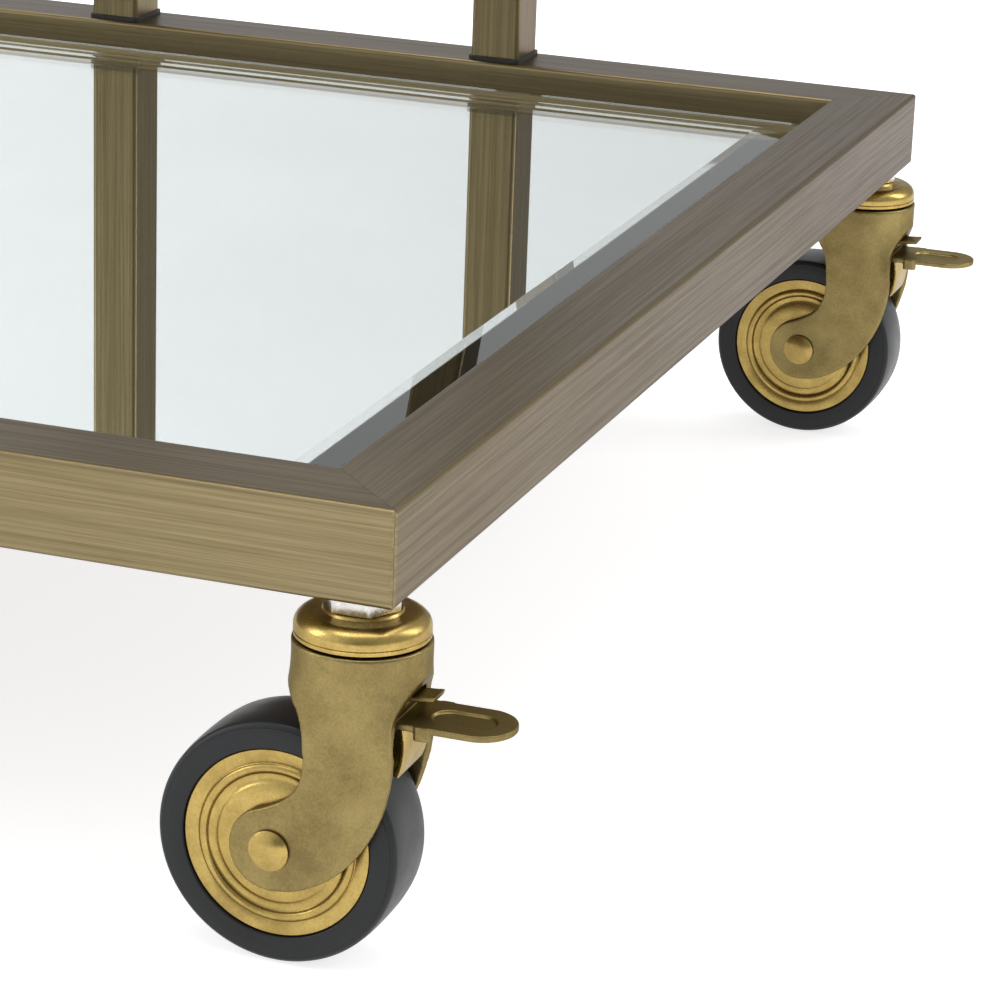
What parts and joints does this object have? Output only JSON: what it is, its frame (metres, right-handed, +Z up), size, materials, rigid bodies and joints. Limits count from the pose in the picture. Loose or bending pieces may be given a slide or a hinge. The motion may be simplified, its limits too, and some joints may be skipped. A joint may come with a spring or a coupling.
{
  "type": "bar cart",
  "caption": "Two-tier bar cart: mitred brass tube frames around bevelled mirror shelves, square uprights, and braked swivel casters at the corners.",
  "frame": {"origin": "on the floor under the middle of the cart", "axes": "+X along the cart's length to its right end, +Y to its back, +Z up"},
  "size_m": [0.9546, 0.509, 0.8],
  "materials": {
    "brushed_brass": "antique brushed satin",
    "cast_brass": "satin antique plate with fine mottling",
    "bright_brass": "polished gilt",
    "mirror_glass": "silvered, bevelled edge",
    "backing": "black painted fibreboard",
    "pad_rubber": "matt",
    "zinc_steel": "bright zinc",
    "dark_steel": "blackened",
    "tyre_rubber": "semi-gloss moulded rubber",
    "hub_plastic": "moulded nylon"
  },
  "bodies": {
    "root": {"lower_front_rail": "brushed_brass", "lower_back_rail": "brushed_brass", "lower_left_rail": "brushed_brass", "lower_right_rail": "brushed_brass", "lower_ledge_strips": "brushed_brass", "lower_backing_board": "backing", "lower_mirror": "mirror_glass", "upper_front_rail": "brushed_brass", "upper_back_rail": "brushed_brass", "upper_left_rail": "brushed_brass", "upper_right_rail": "brushed_brass", "upper_ledge_strips": "brushed_brass", "upper_backing_board": "backing", "upper_mirror": "mirror_glass", "backing_screws": "dark_steel", "front_uprights": "brushed_brass", "back_uprights": "brushed_brass", "upright_pads": "pad_rubber", "upright_plugs": "dark_steel", "upright_spigots": "dark_steel", "upright_bolts": "dark_steel", "caster_inserts": "zinc_steel", "caster_stems": "zinc_steel", "caster_nuts": "zinc_steel", "caster_caps": "cast_brass", "swivel_balls": "zinc_steel"},
    "front_right_caster": {"front_right_fork": "cast_brass", "front_right_axle": "bright_brass", "front_right_brake_pin": "zinc_steel"},
    "front_right_wheel": {"front_right_tyre": "tyre_rubber", "front_right_wheel_hub": "hub_plastic", "front_right_wheel_covers": "cast_brass"},
    "front_right_brake": {"front_right_brake_pedal": "cast_brass", "front_right_brake_shoe": "bright_brass"},
    "back_right_caster": {"back_right_fork": "cast_brass", "back_right_axle": "bright_brass", "back_right_brake_pin": "zinc_steel"},
    "back_right_wheel": {"back_right_tyre": "tyre_rubber", "back_right_wheel_hub": "hub_plastic", "back_right_wheel_covers": "cast_brass"},
    "back_right_brake": {"back_right_brake_pedal": "cast_brass", "back_right_brake_shoe": "bright_brass"},
    "front_left_caster": {"front_left_fork": "cast_brass", "front_left_axle": "bright_brass", "front_left_brake_pin": "zinc_steel"},
    "front_left_wheel": {"front_left_tyre": "tyre_rubber", "front_left_wheel_hub": "hub_plastic", "front_left_wheel_covers": "cast_brass"},
    "front_left_brake": {"front_left_brake_pedal": "cast_brass", "front_left_brake_shoe": "bright_brass"},
    "back_left_caster": {"back_left_fork": "cast_brass", "back_left_axle": "bright_brass", "back_left_brake_pin": "zinc_steel"},
    "back_left_wheel": {"back_left_tyre": "tyre_rubber", "back_left_wheel_hub": "hub_plastic", "back_left_wheel_covers": "cast_brass"},
    "back_left_brake": {"back_left_brake_pedal": "cast_brass", "back_left_brake_shoe": "bright_brass"}
  },
  "joints": [
    {"name": "front_right_swivel", "type": "hinge", "parent": "root", "child": "front_right_caster", "pos_m": [0.4375, -0.2375, 0.0852], "axis": [0, 0, 1], "continuous": true},
    {"name": "front_right_spin", "type": "hinge", "parent": "front_right_caster", "child": "front_right_wheel", "pos_m": [0.4201, -0.2375, 0.03175], "axis": [0, 1, 0], "continuous": true},
    {"name": "front_right_brake", "type": "hinge", "parent": "front_right_caster", "child": "front_right_brake", "pos_m": [0.447, -0.2375, 0.07], "axis": [0, 1, 0], "range_deg": [0, 22]},
    {"name": "back_right_swivel", "type": "hinge", "parent": "root", "child": "back_right_caster", "pos_m": [0.4375, 0.2375, 0.0852], "axis": [0, 0, 1], "continuous": true},
    {"name": "back_right_spin", "type": "hinge", "parent": "back_right_caster", "child": "back_right_wheel", "pos_m": [0.4201, 0.2375, 0.03175], "axis": [0, 1, 0], "continuous": true},
    {"name": "back_right_brake", "type": "hinge", "parent": "back_right_caster", "child": "back_right_brake", "pos_m": [0.447, 0.2375, 0.07], "axis": [0, 1, 0], "range_deg": [0, 22]},
    {"name": "front_left_swivel", "type": "hinge", "parent": "root", "child": "front_left_caster", "pos_m": [-0.4375, -0.2375, 0.0852], "axis": [0, 0, 1], "continuous": true},
    {"name": "front_left_spin", "type": "hinge", "parent": "front_left_caster", "child": "front_left_wheel", "pos_m": [-0.4201, -0.2375, 0.03175], "axis": [0, 1, 0], "continuous": true},
    {"name": "front_left_brake", "type": "hinge", "parent": "front_left_caster", "child": "front_left_brake", "pos_m": [-0.447, -0.2375, 0.07], "axis": [0, -1, 0], "range_deg": [0, 22]},
    {"name": "back_left_swivel", "type": "hinge", "parent": "root", "child": "back_left_caster", "pos_m": [-0.4375, 0.2375, 0.0852], "axis": [0, 0, 1], "continuous": true},
    {"name": "back_left_spin", "type": "hinge", "parent": "back_left_caster", "child": "back_left_wheel", "pos_m": [-0.4201, 0.2375, 0.03175], "axis": [0, 1, 0], "continuous": true},
    {"name": "back_left_brake", "type": "hinge", "parent": "back_left_caster", "child": "back_left_brake", "pos_m": [-0.447, 0.2375, 0.07], "axis": [0, -1, 0], "range_deg": [0, 22]}
  ]
}
